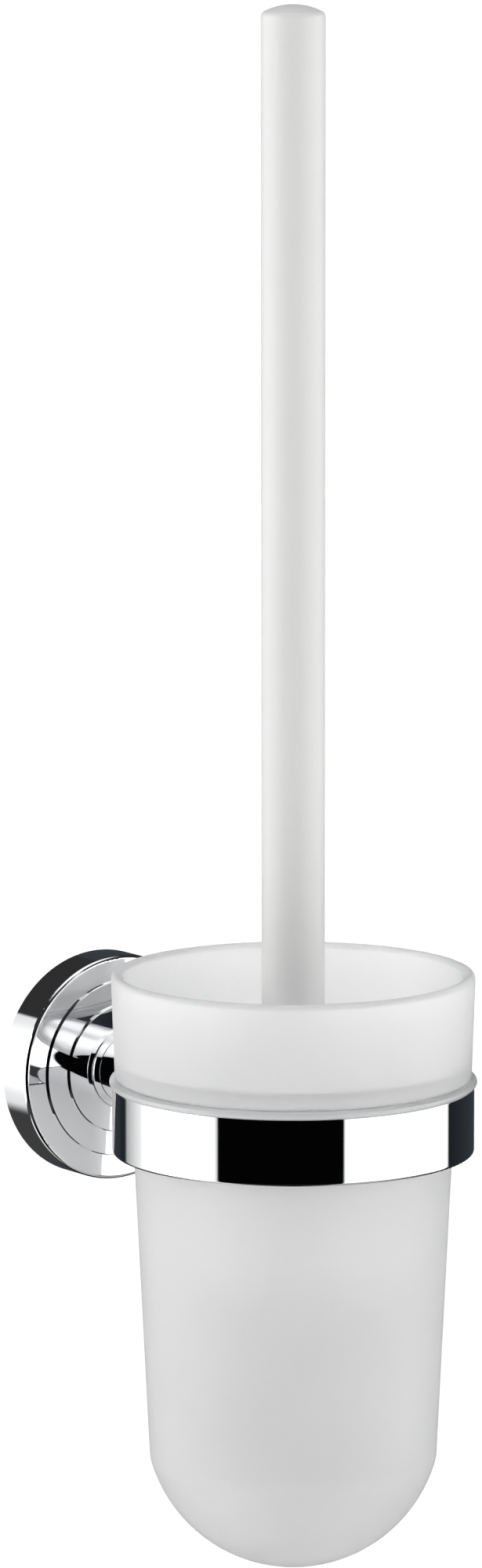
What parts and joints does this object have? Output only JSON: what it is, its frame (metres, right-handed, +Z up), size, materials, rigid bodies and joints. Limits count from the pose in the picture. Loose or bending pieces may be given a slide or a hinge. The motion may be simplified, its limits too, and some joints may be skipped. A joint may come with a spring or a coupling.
{
  "type": "toilet brush holder",
  "caption": "Wall-hung toilet brush holder: round rosette, arm and ring carry a tapered satin glass that holds a brush with a long straight handle.",
  "frame": {"origin": "on the wall, at the centre of the wall plate and rosette", "axes": "+Z up along the glass and handle, +Y into the wall, the holder stands out towards -Y, +X to the right seen from the room"},
  "size_m": [0.0944, 0.136, 0.4025],
  "materials": {
    "chrome": "polished, mirror bright",
    "steel": "zinc plated and stainless fixings, plain",
    "seat_plastic": "translucent clear-grey soft plastic, smooth",
    "satin_glass": "acid-etched satin, white-grey, translucent",
    "white_plastic": "smooth white, soft sheen",
    "bristle": "white nylon bristles"
  },
  "bodies": {
    "holder": {"wall_plate": "steel", "rosette": "chrome", "grub_screw": "steel", "rosette_screw": "steel", "rosette_pin": "steel", "arm": "chrome", "ring_screw": "steel", "ring_pin": "steel", "holder_ring": "chrome", "seat_ring": "seat_plastic"},
    "glass": {"glass": "satin_glass"},
    "brush": {"handle": "white_plastic", "handle_plug": "white_plastic", "head_stud": "steel", "brush_hub": "white_plastic", "bristle_row_1": "bristle", "bristle_row_2": "bristle", "bristle_row_3": "bristle", "bristle_row_4": "bristle", "bristle_row_5": "bristle", "bristle_row_6": "bristle", "bristle_row_7": "bristle", "bristle_tip": "bristle"}
  },
  "joints": [
    {"name": "glass_lift", "type": "slide", "parent": "holder", "child": "glass", "axis": [0, 0, 1], "range_m": [0, 0.135]},
    {"name": "brush_lift", "type": "slide", "parent": "glass", "child": "brush", "axis": [0, 0, 1], "range_m": [0, 0.16]}
  ]
}
